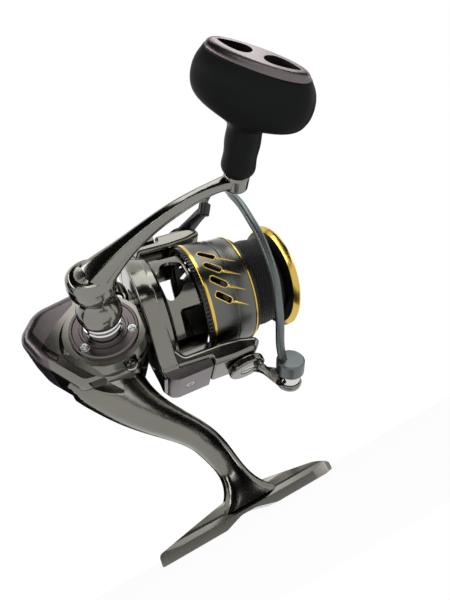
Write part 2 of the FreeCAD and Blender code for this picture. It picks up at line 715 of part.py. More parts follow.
def make_oscillation_gear():
    gear = toothed(OSC_R, 0.9, 26, SPUR_LOW, SPUR_HIGH)
    pin_length = SPUR_LOW - SLIDER_HIGH - GAP
    gear = gear.fuse(rod(OSC_PIN_R, pin_length, V(OSC_THROW, SPUR_LOW, 0), OUTBOARD))
    gear = gear.cut(rod(1.5 + RUN_FIT, 20, V(0, 10, 0), OUTBOARD))
    for angle in (60, 180, 300):
        turn = math.radians(angle)
        gear = gear.cut(rod(1.5, 20, V(4.6 * math.cos(turn), 10, 4.6 * math.sin(turn)), OUTBOARD))
    gear.translate(osc_centre())
    return one(gear)


def make_oscillation_pin():
    """Fixed pin in the far wall of the case that carries the gear."""
    start = osc_centre() + V(0, SPUR_LOW - 0.6, 0)
    return rod(1.5, CASE_HALF - WALL - SPUR_LOW + 0.6, start, Y_DIR)


SLIDE_PIN_X = OSC_X + OSC_THROW
SLIDER_HALF = 2.5


def make_slider():
    """Slotted carrier clamped to the main shaft's rear end."""
    low = AXIS_Z - OSC_DROP - OSC_THROW - 0.6
    high = GUIDE_Z + 2.0
    x0 = SLIDE_PIN_X - SLIDER_HALF
    x1 = SLIDE_PIN_X + SLIDER_HALF
    plate = side_plate([(x0, low, 1.0), (x1, low, 1.0), (x1, high, 1.0), (x0, high, 2.6)],
                       SLIDER_LOW, SLIDER_HIGH)
    slot_half = OSC_PIN_R + GAP
    top = AXIS_Z - OSC_DROP + OSC_THROW + 1.0
    slot = side_plate([(SLIDE_PIN_X - slot_half, low - 5, 0), (SLIDE_PIN_X + slot_half, low - 5, 0),
                       (SLIDE_PIN_X + slot_half, top + 0.8, 1.2), (SLIDE_PIN_X - slot_half, top + 0.8, 1.2)],
                      1.0, 6.0)
    plate = plate.cut(slot)
    plate = plate.cut(rod(1.0 + RUN_FIT, 20, V(x0 - 5, 3.3, GUIDE_Z), X_DIR))
    front_leg = box_between(V(x1 - 1.4, -2.9, AXIS_Z - 3.0), V(x1 + 0.2, 2.6, AXIS_Z + 3.4))
    rear_leg = box_between(V(x0 - 1.6, -2.9, AXIS_Z - 3.0), V(x0 + 0.9, 2.6, AXIS_Z + 3.4))
    whole = plate.fuse(front_leg).fuse(rear_leg)
    return one(whole.cut(rod(SHAFT_R, 40, V(x0 - 10, 0, AXIS_Z), X_DIR)))


# ---- rotor ---------------------------------------------------------------
ROTOR_HUB_R = 6.2
ROTOR_WALL = 1.7
BAND_WIDTH = 7.4
PINION_REAR = -31.4
PINION_FRONT = 1.0


def rotor_cup():
    """Cup with a recess at the rear for the case's front collar."""
    rear = ROTOR_REAR
    recess = COLLAR_FRONT + 0.6
    return turned_x([
        (recess, PINION_SHANK_R), (recess, COLLAR_R + 0.8), (rear, COLLAR_R + 1.2), (rear, 22.5),
        (rear + 0.8, ROTOR_R), (rear + 3.5, ROTOR_R + 0.2), (-3.2, 25.2), (-1.6, CUP_R + 0.2),
        (CUP_FRONT - 0.8, CUP_R), (CUP_FRONT, CUP_R - 0.7), (CUP_FRONT, CUP_R - ROTOR_WALL),
        (-2.0, CUP_R - ROTOR_WALL), (-4.5, ROTOR_R - 2.4), (rear + 4.4, ROTOR_R - 2.4), (rear + 2.4, 20.5),
        (rear + 2.4, COLLAR_R + 3.4), (recess + 2.2, COLLAR_R + 2.4), (recess + 2.2, ROTOR_HUB_R),
        (-3.5, ROTOR_HUB_R), (-3.5, PINION_SHANK_R)])


def rotor_band():
    """Rear band that runs from the cup's round rim out into both arms."""
    r = ROTOR_R
    quarter = [(ARM_HALF, ARM_OUT - 2.4, 3), (ARM_HALF + 1.2, 29.5, 9), (r - 0.4, 8.0, 16)]
    outline = [(a, b, c) for a, b, c in quarter]
    outline += [(a, -b, c) for a, b, c in reversed(quarter)]
    outline += [(-a, -b, c) for a, b, c in quarter]
    outline += [(-a, b, c) for a, b, c in reversed(quarter)]
    wire = corner_path(outline, lambda p: V(ROTOR_REAR, p.x, p.y))
    band = Part.Face(wire).extrude(V(BAND_WIDTH, 0, 0))

    def front_rim(edge):
        box = edge.BoundBox
        return abs(box.XMin - box.XMax) < 0.01
    band = on_spool_axis(eased(band, 1.6, front_rim))
    room = turned_x([(ROTOR_REAR - 1, 0), (ROTOR_REAR - 1, ROTOR_R - 2.4), (20, ROTOR_R - 2.4), (20, 0)])
    return one(band.cut(room))


def rotor_arm():
    """One arm slab above the spool, with a boss for the bail pivot."""
    z = AXIS_Z
    outline = [
        (ROTOR_REAR, z + 23.0, 0.5), (ROTOR_REAR - 0.3, z + 31.0, 2.5), (-9.0, z + 32.6, 4), (8.0, z + 33.6, 0.4),
        (8.6, z + ARM_OUT - 0.4, 1.2), (18.0, z + ARM_OUT, 4), (ARM_FRONT - 3.0, z + ARM_OUT - 0.4, 4),
        (ARM_FRONT, z + 33.2, 1.6), (ARM_FRONT - 1.5, z + 31.0, 1.4), (ARM_FRONT - 8, z + 29.0, 10),
        (14.0, z + ARM_IN, 8), (-1.0, z + ARM_IN, 1.5), (-3.6, z + 23.6, 1.5)]
    arm = side_plate(outline, -ARM_HALF, ARM_HALF)

    def long_outer(edge):
        box = edge.BoundBox
        flat = abs(box.YMin - box.YMax) < 0.01 and abs(abs(box.YMax) - ARM_HALF) < 0.01
        return flat and edge.CenterOfMass.z > z + 30.5 and edge.CenterOfMass.x > 8.8
    arm = eased(arm, 2.2, long_outer)

    def long_inner(edge):
        box = edge.BoundBox
        flat = abs(box.YMin - box.YMax) < 0.01 and abs(abs(box.YMax) - ARM_HALF) < 0.01
        return flat and edge.CenterOfMass.z < z + 30.5 and edge.CenterOfMass.x > 0
    return eased(arm, 1.0, long_inner)


WINDOW = [(-2.4, 2.0, 3), (3.2, 10.6, 6), (10.2, 7.2, 3), (10.4, -1.0, 4), (4.5, -8.0, 5), (-1.2, -10.6, 2)]


def make_rotor():
    arm = rotor_arm()
    whole = rotor_cup().fuse(rotor_band()).fuse(arm).fuse(half_turn(arm))
    leaf = side_plate([(x, AXIS_Z + z, r) for x, z, r in WINDOW], -40, 40)
    rear = ROTOR_REAR + BAND_WIDTH + 0.8
    ring = turned_x([(rear, 10), (rear, 30), (CUP_FRONT + 1, 30), (CUP_FRONT + 1, 10)])
    whole = whole.cut(leaf.common(ring))
    for side in (-1, 1):
        near = AXIS_Z + side * 13.4
        far = AXIS_Z + side * 21.6
        low = min(near, far)
        high = max(near, far)
        gap = side_plate([(2.0, low, 1.5), (CUP_FRONT + 3, low, 0), (CUP_FRONT + 3, high, 0), (2.0, high, 1.5)],
                         -40, 40)
        whole = whole.cut(gap.common(ring))
    for turn in (0, 180):
        hole = rod(1.7, 3.4, V(PIVOT_X, 0, AXIS_Z + ARM_OUT - 3.4), Z_DIR)
        screw = rod(0.8, 4.5, V(-2.0, 0, AXIS_Z + 30.5), Z_DIR)
        if turn:
            hole = half_turn(hole)
            screw = half_turn(screw)
        whole = whole.cut(hole).cut(screw)
    return one(whole)


COVER_TOP = 37.4


def arm_cover():
    """Hollow cover on the outside of a rotor arm."""
    z = AXIS_Z
    rear = ROTOR_REAR - 0.1
    floor = [(-9.0, z + 32.65), (8.0, z + 33.65)]
    outline = [(rear, z + 31.9, 0.4), (rear + 2.6, z + 36.4, 3.5), (rear + 5.6, z + COVER_TOP, 3.5),
               (7.6, z + COVER_TOP - 0.2, 0.8), (7.6, floor[1][1], 0.2), (floor[0][0], floor[0][1], 0.5)]
    cover = side_plate(outline, -ARM_HALF - 0.4, ARM_HALF + 0.4)

    def outer_rim(edge):
        box = edge.BoundBox
        flat = abs(box.YMin - box.YMax) < 0.01
        return flat and edge.CenterOfMass.z > z + 35.0 and edge.CenterOfMass.x < 7.4
    cover = eased(cover, 3.6, outer_rim)
    room = side_plate([(-7.0, z + 32.0, 0), (-7.0, z + COVER_TOP - 1.6, 1), (6.0, z + COVER_TOP - 1.6, 1),
                       (6.0, z + 32.0, 0)], -ARM_HALF + 1.4, ARM_HALF - 1.4)
    post = rod(2.2, 10, V(-2.0, 0, z + 30), Z_DIR)
    cover = cover.cut(room.cut(post))
    cover = cover.cut(rotor_arm()).cut(rotor_band())
    hole = rod(0.85, 12, V(-2.0, 0, z + 30), Z_DIR)
    seat = rod(2.1, 4, V(-2.0, 0, z + COVER_TOP - 1.1), Z_DIR)
    return one(cover.cut(hole).cut(seat))


def make_arm_screws():
    tip = V(-2.0, 0, AXIS_Z + COVER_TOP - 0.1)
    screw = screw_solid(tip, 2.05, 0.78, 1.0, 6.2, Z_DIR)
    return Part.makeCompound([screw, half_turn(screw)])


def make_pinion():
    """Brass pinion tube: teeth at the rear, threaded shank through the rotor."""
    bore = SHAFT_R + RUN_FIT
    tube = turned_x([(PINION_REAR, bore), (PINION_REAR, 2.9), (-24.9, 2.9), (-24.9, PINION_SHANK_R),
                     (PINION_FRONT, PINION_SHANK_R), (PINION_FRONT, bore)])
    teeth = []
    for i in range(10):
        tooth = box_between(V(PINION_REAR + 0.2, -0.42, AXIS_Z + 2.5), V(-25.0, 0.42, AXIS_Z + PINION_TIP_R - 0.02))
        tooth.rotate(V(0, 0, AXIS_Z), X_DIR, 36.0 * i)
        teeth.append(tooth)
    return one(tube.fuse(teeth))


def hexagon_nut(across, x_low, x_high, bore):
    points = []
    for i in range(6):
        angle = math.radians(60 * i + 30)
        reach = across / 2 / math.cos(math.radians(30))
        points.append(V(x_low, reach * math.cos(angle), AXIS_Z + reach * math.sin(angle)))
    face = Part.Face(Part.makePolygon(points + points[:1]))
    nut = face.extrude(V(x_high - x_low, 0, 0))
    return one(nut.cut(rod(bore, 20, V(x_low - 5, 0, AXIS_Z), X_DIR)))


def make_rotor_nut():
    return hexagon_nut(10.5, -3.5, 0.0, PINION_SHANK_R)


SPRING_R = 0.9
SPRING_WIRE_R = 0.25
SPRING_RISE = COVER_TOP - 1.6 - SPRING_R - SPRING_WIRE_R - 0.1


def make_bail_spring():
    """Coil that flips the bail, housed in the lower arm's cover."""
    coil = Part.makeHelix(1.1, 8.8, SPRING_R)
    wire = Part.Wire(coil.Edges)
    start = V(SPRING_R, 0, 0)
    circle = Part.Wire(Part.makeCircle(SPRING_WIRE_R, start, V(0, 1, 0.19)))
    spring = wire.makePipeShell([circle], True, True)
    spring.rotate(V(0, 0, 0), X_DIR, 90)
    spring.rotate(V(0, 0, 0), Z_DIR, 90)
    spring.translate(V(-4.2, 5.6, AXIS_Z - SPRING_RISE))
    return spring


def make_trip_rod():
    """Rod in the lower arm's cover that knocks the bail shut."""
    return rod(0.6, 10.0, V(-4.6, -5.2, AXIS_Z - SPRING_RISE), X_DIR)


# ---- main shaft and spool ------------------------------------------------
DRAG_SEAT = 44.0
DRAG_R = 11.6
POCKET_R = 12.2


def make_main_shaft():
    """Main shaft with the flange that carries the spool."""
    rear = SLIDE_PIN_X - SLIDER_HALF - 1.8
    shaft = turned_x([(rear, 0), (rear, SHAFT_R), (LIP_X + 3.4, SHAFT_R), (LIP_X + 3.4, 0)])
    return shaft


def make_spool_carrier():
    """Washer pinned on the shaft that the spool rests against."""
    return turned_x([(31.0, SHAFT_R), (31.0, 5.0), (33.6, 5.0), (33.6, 3.2), (35.2, 3.2), (35.2, SHAFT_R)])


def make_spool_body():
    """Arbor, rear web and the dark front flange."""
    bore = SHAFT_R + RUN_FIT
    web = SKIRT_FRONT_R - SKIRT_WALL
    return turned_x([
        (35.5, bore), (35.5, 12.0), (33.8, 13.0), (33.8, web), (LINE_REAR, web), (LINE_REAR, ARBOR_R),
        (LINE_FRONT, ARBOR_R), (LINE_FRONT, ARBOR_R + 1.0), (FLANGE_X, FLANGE_R), (FLANGE_X + 0.8, FLANGE_R),
        (FLANGE_X + 1.5, POCKET_R + 4.2), (FLANGE_X + 0.6, POCKET_R + 1.2), (FLANGE_X + 0.6, POCKET_R),
        (DRAG_SEAT, POCKET_R), (DRAG_SEAT, 5.4), (38.4, 5.4), (38.4, bore)])


def make_lip_ring():
    """Gold ring that forms the spool's front lip."""
    x = FLANGE_X
    return turned_x([
        (x, FLANGE_R), (x + 0.9, LIP_R - 0.8), (x + 1.7, LIP_R), (LIP_X - 0.4, LIP_R - 0.1),
        (LIP_X, LIP_R - 0.8), (LIP_X, LIP_R - 2.6), (x + 2.2, LIP_R - 6.0), (x + 1.5, POCKET_R + 4.2),
        (x + 0.8, FLANGE_R)])


def skirt_radius(x):
    share = (x - SKIRT_REAR_X) / (SKIRT_FRONT_X - SKIRT_REAR_X)
    return SKIRT_REAR_R + share * (SKIRT_FRONT_R - SKIRT_REAR_R)


SLOT_X = 20.7
SLOT_HALF = 3.9
SLOT_WIDE = 2.5
SLOT_SLOPE = 41
SLOT_ANGLES = [-36, -21, -6, 9]


def make_skirt():
    x0 = SKIRT_REAR_X + RING_WIDTH
    x1 = SKIRT_FRONT_X - 0.9
    crease = 26.0
    r0 = skirt_radius(x0)
    r1 = skirt_radius(x1)
    rc = skirt_radius(crease)
    w = SKIRT_WALL
    skirt = turned_x([
        (x0, r0 - w), (x0, r0), (crease - 0.3, rc), (crease, rc - 0.22), (crease + 0.3, rc - 0.05),
        (x1 - 0.8, r1), (x1, r1 - 0.3), (x1, SKIRT_FRONT_R - w), (33.0, SKIRT_FRONT_R - w), (crease, rc - w)])
    cutters = []
    for group in range(3):
        for angle in SLOT_ANGLES:
            slot = Part.makeBox(2 * SLOT_HALF, 12, SLOT_WIDE, V(SLOT_X - SLOT_HALF, -32, -SLOT_WIDE / 2))
            slot.rotate(V(SLOT_X, -26, 0), Y_DIR, SLOT_SLOPE)
            slot.rotate(V(0, 0, 0), X_DIR, -angle)
            slot.translate(V(0, 0, AXIS_Z))
            slot.rotate(V(0, 0, AXIS_Z), X_DIR, 120 * group)
            cutters.append(slot)
    return one(skirt.cut(Part.makeCompound(cutters)))


def make_skirt_rear_ring():
    x0 = SKIRT_REAR_X
    x1 = x0 + RING_WIDTH
    r = SKIRT_REAR_R
    return turned_x([(x0, r - 1.5), (x0, r + 0.05), (x0 + 0.25, r + 0.3), (x1 - 0.15, r + 0.25), (x1, r),
                     (x1, r - SKIRT_WALL)])


def make_skirt_front_ring():
    x0 = SKIRT_FRONT_X - 0.9
    x1 = SKIRT_FRONT_X
    r = SKIRT_FRONT_R
    return turned_x([(x0, r - SKIRT_WALL), (x0, r + 0.1), (x1 - 0.3, r + 0.12), (x1, r - 0.2),
                     (x1, r - SKIRT_WALL)])


def make_click_ring():
    """Fine-toothed click ring at the spool's rear edge."""
    x0 = SKIRT_REAR_X - 1.9
    x1 = SKIRT_REAR_X
    outer = SKIRT_REAR_R - 0.5
    ring = turned_x([(x0, outer - 1.6), (x0, outer), (x1, outer), (x1, outer - 1.6)])
    notches = []
    for i in range(90):
        notch = box_between(V(x0 - 1, -0.42, AXIS_Z + outer - 0.8), V(x1 - 0.5, 0.42, AXIS_Z + outer + 1))
        notch.rotate(V(0, 0, AXIS_Z), X_DIR, 4.0 * i)
        notches.append(notch)
    return one(ring.cut(Part.makeCompound(notches)))


def make_line_winding():
    """Braided line wound on the arbor, slightly fuller in the middle."""
    mid = (LINE_FRONT + LINE_REAR) / 2
    return turned_x([
        (LINE_REAR, ARBOR_R), (LINE_REAR, LINE_R - 0.6), (LINE_REAR + 1.2, LINE_R - 0.1), (mid, LINE_R + 0.25),
        (LINE_FRONT - 0.8, LINE_R - 0.6), (LINE_FRONT, ARBOR_R + 1.0), (LINE_FRONT, ARBOR_R)])


def make_drag_washers():
    rings = []
    start = DRAG_SEAT
    for index in range(5):
        thick = 1.1 if index % 2 == 0 else 0.8
        outer = DRAG_R if index % 2 == 0 else DRAG_R - 0.4
        rings.append(turned_x([(start, 3.0), (start, outer), (start + thick, outer), (start + thick, 3.0)]))
        start += thick
    return Part.makeCompound(rings)


def make_drag_clip():
    """Spring wire clip that holds the drag stack in its pocket."""
    start = DRAG_SEAT + 4.9
    outer = POCKET_R - 0.02
    ring = turned_x([(start, outer - 1.0), (start, outer), (start + 0.8, outer), (start + 0.8, outer - 1.0)])
    gap = box_between(V(start - 1, -1.2, AXIS_Z + 5), V(start + 2, 1.2, AXIS_Z + 20))
    return one(ring.cut(gap))


KNOB_REAR = 51.2


def make_drag_knob():
    """Front drag knob with finger scallops round its rim."""
    r = POCKET_R - GAP
    knob = turned_x([
        (KNOB_REAR, 3.2), (KNOB_REAR, r - 1.2), (LIP_X - 1.0, r - 1.2), (LIP_X - 0.2, r + 0.4),
        (LIP_X + 4.0, r + 0.2), (LIP_X + 6.4, r - 1.6), (LIP_X + 7.6, r - 4.4), (LIP_X + 8.0, 0.0),
        (LIP_X + 4.0, 0.0), (LIP_X + 4.0, 3.2)])
    scallops = []
    for i in range(12):
        cut = rod(1.3, 14, V(LIP_X + 0.6, 0, AXIS_Z + r + 0.75), X_DIR)
        cut.rotate(V(0, 0, AXIS_Z), X_DIR, 30.0 * i)
        scallops.append(cut)
    return one(knob.cut(Part.makeCompound(scallops)))


def make_drag_nut():
    """Threaded insert of the drag knob."""
    return turned_x([(KNOB_REAR - 0.9, SHAFT_R + RUN_FIT), (KNOB_REAR - 0.9, 5.2), (KNOB_REAR, 5.2),
                     (KNOB_REAR, 3.2), (LIP_X + 3.0, 3.2), (LIP_X + 3.0, SHAFT_R + RUN_FIT)])


# ---- bail ----------------------------------------------------------------
BAIL_IN = ARM_OUT + 0.35
ROOT_THICK = 3.6
ROOT_R = 8.2
HEAD_R = 3.2             # head of the bail pivot screw
HEAD_SINK = 1.7          # depth of the recess round that head
ROLLER_REACH = 15.0
ROLLER_TURN = 6.0
ROLLER_RISE = -50.2
ROLLER_LEAN = 66.0
ROLLER_HEADING = 88.0


def bail_point(reach, turn, rise):
    """Point given by its reach and turn from the bail pivot line."""
    angle = math.radians(turn)
    return V(PIVOT_X + reach * math.cos(angle), -reach * math.sin(angle), AXIS_Z + rise)


def roller_axis():
    """Unit vector from the bail arm's cup toward the cap."""
    lean = math.radians(ROLLER_LEAN)
    turn = math.radians(ROLLER_HEADING)
    return V(math.sin(lean) * math.cos(turn), -math.sin(lean) * math.sin(turn), math.cos(lean))


def roller_centre():
    return bail_point(ROLLER_REACH, ROLLER_TURN, ROLLER_RISE)


def on_roller(profile):
    """Revolve (along, radius) points about the roller's own axis."""
    axis = roller_axis()
    side = axis.cross(X_DIR).normalize()
    centre = roller_centre()
    points = [centre + axis * along + side * radius for along, radius in profile]
    face = Part.Face(Part.makePolygon(points + points[:1]))
    return face.revolve(centre, axis, 360)


ROLLER_HALF = 1.9
CUP_DEEP = 3.8


def make_bail_arm():
    """Lower bail arm: pivot disc, cranked web and roller cup."""
    top = AXIS_Z - BAIL_IN
    low = top - ROOT_THICK
    disc = rod(ROOT_R, ROOT_THICK, V(PIVOT_X, 0, low), Z_DIR)
    disc = disc.makeFillet(0.9, [edge for edge in disc.Edges if len(edge.Vertexes) == 1])
    axis = roller_axis()
    foot = roller_centre() - axis * (ROLLER_HALF + 0.35 + CUP_DEEP / 2)
    start = V(PIVOT_X, 0, (top + low) / 2) + (foot - V(PIVOT_X, 0, foot.z)).normalize() * 3.0
    sections = []
    for share, half_wide, half_thick in ((0.0, 7.8, 1.7), (0.3, 7.2, 1.7), (0.6, 5.8, 1.9), (0.85, 5.0, 2.0),
                                         (1.0, 4.4, 2.0)):
        centre = start + (foot - start) * share
        ahead = (foot - start).normalize()
        up = (Z_DIR * (1 - share) + axis * share).normalize()
        across = ahead.cross(up).normalize()
        up = across.cross(ahead).normalize()
        points = []
        for i in range(16):
            angle = 2 * math.pi * i / 16
            c = math.cos(angle)
            s = math.sin(angle)
            u = math.copysign(abs(c) ** 0.75, c) * half_wide
            w = math.copysign(abs(s) ** 0.75, s) * half_thick
            points.append(centre + across * u + up * w)
        curve = Part.BSplineCurve()
        curve.interpolate(Points=points, PeriodicFlag=True)
        sections.append(Part.Wire(curve.toShape()))
    web = Part.makeLoft(sections, True, False)
    inner = -ROLLER_HALF - 0.35
    cup = on_roller([(inner, 0), (inner, 4.9), (inner - 1.2, 5.4), (inner - 2.8, 5.0), (inner - CUP_DEEP, 3.4),
                     (inner - CUP_DEEP, 0)])
    whole = disc.fuse(web).fuse(cup)
    room = on_roller([(inner, 0), (inner, 7.5), (inner + 8, 9), (inner + 8, 0)])
    whole = whole.cut(room)
    whole = whole.cut(rod(2.3 + GAP, 10, V(PIVOT_X, 0, low - 3), Z_DIR))
    whole = whole.cut(rod(HEAD_R + GAP, 8, V(PIVOT_X, 0, low + HEAD_SINK - 8), Z_DIR))
    whole = whole.common(box_between(V(0, -60, 0), V(80, 60, top)))
    lead = (foot - V(PIVOT_X, 0, foot.z)).normalize()
    kidney = kidney_slot(lead, low - 2, ROOT_THICK + 4)
    whole = whole.cut(kidney)
    whole = whole.cut(on_roller([(inner + 1, 0), (inner + 1, 1.5), (inner - CUP_DEEP - 1, 1.5),
                                 (inner - CUP_DEEP - 1, 0)]))
    whole = whole.cut(on_roller([(inner - CUP_DEEP + 1.2, 0), (inner - CUP_DEEP + 1.2, 2.4),
                                 (inner - CUP_DEEP - 2, 2.4), (inner - CUP_DEEP - 2, 0)]))
    return one(whole)


def kidney_slot(lead, z_low, height):
    """Curved slot beside the bail arm's pivot hole."""
    across = V(-lead.y, lead.x, 0)
    slots = []
    for index in range(7):
        angle = math.radians(-38 + 76 * index / 6.0)
        place = V(PIVOT_X, 0, z_low) + (lead * math.cos(angle) + across * math.sin(angle)) * 5.9
        slots.append(rod(0.95, height, place, Z_DIR))
    joined = slots[0].fuse(slots[1:])
    return joined


def make_bail_pivots():
    """Shouldered screws on which the bail turns, one in each rotor arm."""
    z = AXIS_Z + ARM_OUT
    neck = BAIL_IN - ARM_OUT + ROOT_THICK - HEAD_SINK + 0.3
    screw = rod(1.7, 3.4, V(PIVOT_X, 0, z - 3.4), Z_DIR)
    screw = screw.fuse(rod(2.3, neck, V(PIVOT_X, 0, z), Z_DIR))
    screw = one(screw.fuse(rod(HEAD_R, 1.2, V(PIVOT_X, 0, z + neck), Z_DIR)))
    slot = bar_at(V(PIVOT_X, 0, z + neck + 1.2), X_DIR, Y_DIR, Z_DIR, 8, 0.9, 0.6)
    screw = one(screw.cut(slot))
    return Part.makeCompound([screw, half_turn(screw)])


WIRE_PATH = [
    (14.6, 27, -47.6), (16.3, 42, -43.8), (20.9, 57, -40.4), (28.0, 66, -36.4), (34.2, 70, -31.6), (39.2, 70, -24.0),
    (42.4, 70, -15.5), (44.6, 70, -6.5), (45.4, 70, 3.0), (45.0, 69, 13.5), (43.0, 67, 22.5),
    (40.2, 62, 30.5), (36.0, 58, 37.0), (30.6, 56, 41.8), (25.6, 55, 42.0), (22.2, 55, 38.8),
]


def make_bail_wire():
    points = [bail_point(*entry) for entry in WIRE_PATH]
    curve = Part.BSplineCurve()
    curve.interpolate(points)
    path = Part.Wire(curve.toShape())
    start = curve.value(curve.FirstParameter)
    heading = curve.tangent(curve.FirstParameter)[0]
    section = Part.Wire(Part.makeCircle(WIRE_R, start, heading))
    return path.makePipeShell([section], True, True)


def make_roller_cap():
    """Rounded cap joining the wire to the roller screw."""
    low = ROLLER_HALF + 0.35
    cap = on_roller([(low, 0), (low, 5.3), (low + 0.6, 5.9), (low + 6.1, 5.9), (low + 6.8, 5.3), (low + 6.8, 0)])
    cap = cap.cut(on_roller([(low - 1, 0), (low - 1, 1.5), (low + 3.2, 1.5), (low + 3.2, 0)]))
    return one(cap.cut(make_bail_wire()))


def make_line_roller():
    bore = 1.5 + RUN_FIT
    h = ROLLER_HALF
    return on_roller([(-h, bore), (-h, ROLLER_R), (-h + 0.6, ROLLER_R), (-0.3, ROLLER_R - 0.9),
                      (0.5, ROLLER_R - 0.9), (h - 0.4, ROLLER_R), (h, ROLLER_R), (h, bore)])


def make_roller_screw():
    low = ROLLER_HALF + 0.35
    base = -low - CUP_DEEP
    return on_roller([(base + 0.2, 0), (base + 0.2, 2.3), (base + 1.2, 2.38), (base + 1.2, 1.5),
                      (low + 3.2, 1.5), (low + 3.2, 0)])


def make_bail_bracket():
    """Upper bail arm: pivot disc and the socket for the wire's other end."""
    low = AXIS_Z + BAIL_IN
    disc = rod(ROOT_R - 1.4, ROOT_THICK, V(PIVOT_X, 0, low), Z_DIR)
    disc = disc.makeFillet(0.9, [edge for edge in disc.Edges if len(edge.Vertexes) == 1])
    end = bail_point(*WIRE_PATH[-1])
    before = bail_point(*WIRE_PATH[-2])
    heading = (end - before).normalize()
    socket = rod(3.0, 6.4, end - heading * 2.4, heading)
    socket = socket.makeFillet(0.8, [edge for edge in socket.Edges if len(edge.Vertexes) == 1])
    tip = end + heading * 1.2
    start = V(PIVOT_X, 0, low + ROOT_THICK / 2)
    flat_tip = V(tip.x, tip.y, start.z)
    lead = (flat_tip - start).normalize()
    start = start + lead * 2
    sections = []
    for share, half_wide, half_thick in ((0.0, 5.6, 1.6), (0.35, 4.4, 1.6), (0.7, 3.4, 2.0), (1.0, 2.7, 2.4)):
        centre = start + (flat_tip - start) * share
        centre = centre + (tip - flat_tip) * share ** 2
        ahead = (tip - start).normalize()
        across = ahead.cross(Z_DIR).normalize()
        up = across.cross(ahead).normalize()
        points = []
        for i in range(16):
            angle = 2 * math.pi * i / 16
            c = math.cos(angle)
            s = math.sin(angle)
            u = math.copysign(abs(c) ** 0.75, c) * half_wide
            w = math.copysign(abs(s) ** 0.75, s) * half_thick
            points.append(centre + across * u + up * w)
        curve = Part.BSplineCurve()
        curve.interpolate(Points=points, PeriodicFlag=True)
        sections.append(Part.Wire(curve.toShape()))
    web = Part.makeLoft(sections, True, False)
    whole = disc.fuse(web).fuse(socket)
    whole = whole.cut(make_bail_wire())
    whole = whole.cut(rod(2.3 + GAP, 10, V(PIVOT_X, 0, low - 3), Z_DIR))
    whole = whole.cut(rod(HEAD_R + GAP, 8, V(PIVOT_X, 0, low + ROOT_THICK - HEAD_SINK), Z_DIR))
    return one(whole)


# ---- export --------------------------------------------------------------
def bearing_x(inner, outer, start, width):
    return bearing(inner, outer, start, width, turned_x)


def build_parts():
    parts = dict(make_static_body())
    parts["bearing_ring"] = make_bearing_ring()
    parts["bearing_ring_screws"] = make_ring_screws()
    parts["cover_screws"] = make_cover_screws()
    parts["crank_bearing_near"] = bearing(CRANK_SHAFT_R + RUN_FIT, BEARING_OUT_R, NEAR_BEARING, BEARING_WIDTH,
                                          turned_y)
    parts["crank_bearing_far"] = bearing(CRANK_SHAFT_R + RUN_FIT, BEARING_OUT_R, -FAR_BEARING, BEARING_WIDTH,
                                         turned_y)
    parts["far_side_cap"] = make_far_cap()
    parts["one_way_clutch"] = bearing_x(PINION_SHANK_R + RUN_FIT, CLUTCH_R, CLUTCH_REAR,
                                        PINION_BEARING_REAR - CLUTCH_REAR)
    parts["pinion_bearing"] = bearing_x(PINION_SHANK_R + RUN_FIT, PINION_BEARING_R, PINION_BEARING_REAR, 3.4)
    parts["slider_guide_rod"] = make_guide_rod()
    parts["oscillation_pin"] = make_oscillation_pin()
    parts["drive_gear"] = make_drive_gear()
    parts["drive_shaft"] = make_drive_shaft()
    parts["handle_tenon"] = make_handle_tenon()
    parts["handle_collar"] = make_collar()
    parts["handle_bell"] = make_bell()
    parts["handle_arm"] = make_handle_arm()
    parts["handle_hub_screw"] = make_hub_screw()
    parts["knob_post"] = make_knob_post()
    parts["knob_grip"] = make_knob_grip()
    parts["knob_end_plate"] = make_knob_plate()
    parts["knob_bearings"] = make_knob_bearings()
    parts["knob_screw"] = make_knob_screw()
    parts["oscillation_gear"] = make_oscillation_gear()
    parts["oscillation_slider"] = make_slider()
    parts["rotor"] = make_rotor()
    cover = arm_cover()
    parts["rotor_arm_cover_upper"] = cover
    parts["rotor_arm_cover_lower"] = half_turn(cover)
    parts["rotor_arm_screws"] = make_arm_screws()
    parts["pinion"] = make_pinion()
    parts["rotor_nut"] = make_rotor_nut()
    parts["bail_spring"] = make_bail_spring()
    parts["bail_trip_rod"] = make_trip_rod()
    parts["bail_pivot_screws"] = make_bail_pivots()
    parts["main_shaft"] = make_main_shaft()
    parts["spool_seat_washer"] = make_spool_carrier()
    parts["spool_body"] = make_spool_body()
    parts["spool_lip_ring"] = make_lip_ring()
    parts["spool_skirt"] = make_skirt()
    parts["skirt_rear_ring"] = make_skirt_rear_ring()
    parts["skirt_front_ring"] = make_skirt_front_ring()
    parts["click_ring"] = make_click_ring()
    parts["line_winding"] = make_line_winding()
    parts["drag_washers"] = make_drag_washers()
    parts["drag_clip"] = make_drag_clip()
    parts["drag_knob"] = make_drag_knob()
    parts["drag_nut"] = make_drag_nut()
    parts["bail_arm"] = make_bail_arm()
    parts["bail_wire"] = make_bail_wire()
    parts["roller_cap"] = make_roller_cap()
    parts["line_roller"] = make_line_roller()
    parts["roller_screw"] = make_roller_screw()
    parts["bail_bracket"] = make_bail_bracket()
    return parts


os.makedirs("parts", exist_ok=True)
for name, shape in build_parts().items():
    shape.exportStep("parts/" + name + ".step")
    print(name, round(shape.Volume, 1), len(shape.Solids), shape.isValid())
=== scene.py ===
# %% [markdown]
# A spinning reel holds fishing line under a rod.  A crank turns a rotor round a
# spool, and a wire bail on the rotor lays the line on it.  The working shapes
# come from CAD as a fixed frame, so this lesson adds what CAD leaves out: smooth
# shading, finishes, wound line and gold trim.

import json
import math
import bmesh
import bpy
from mathutils import Matrix, Vector


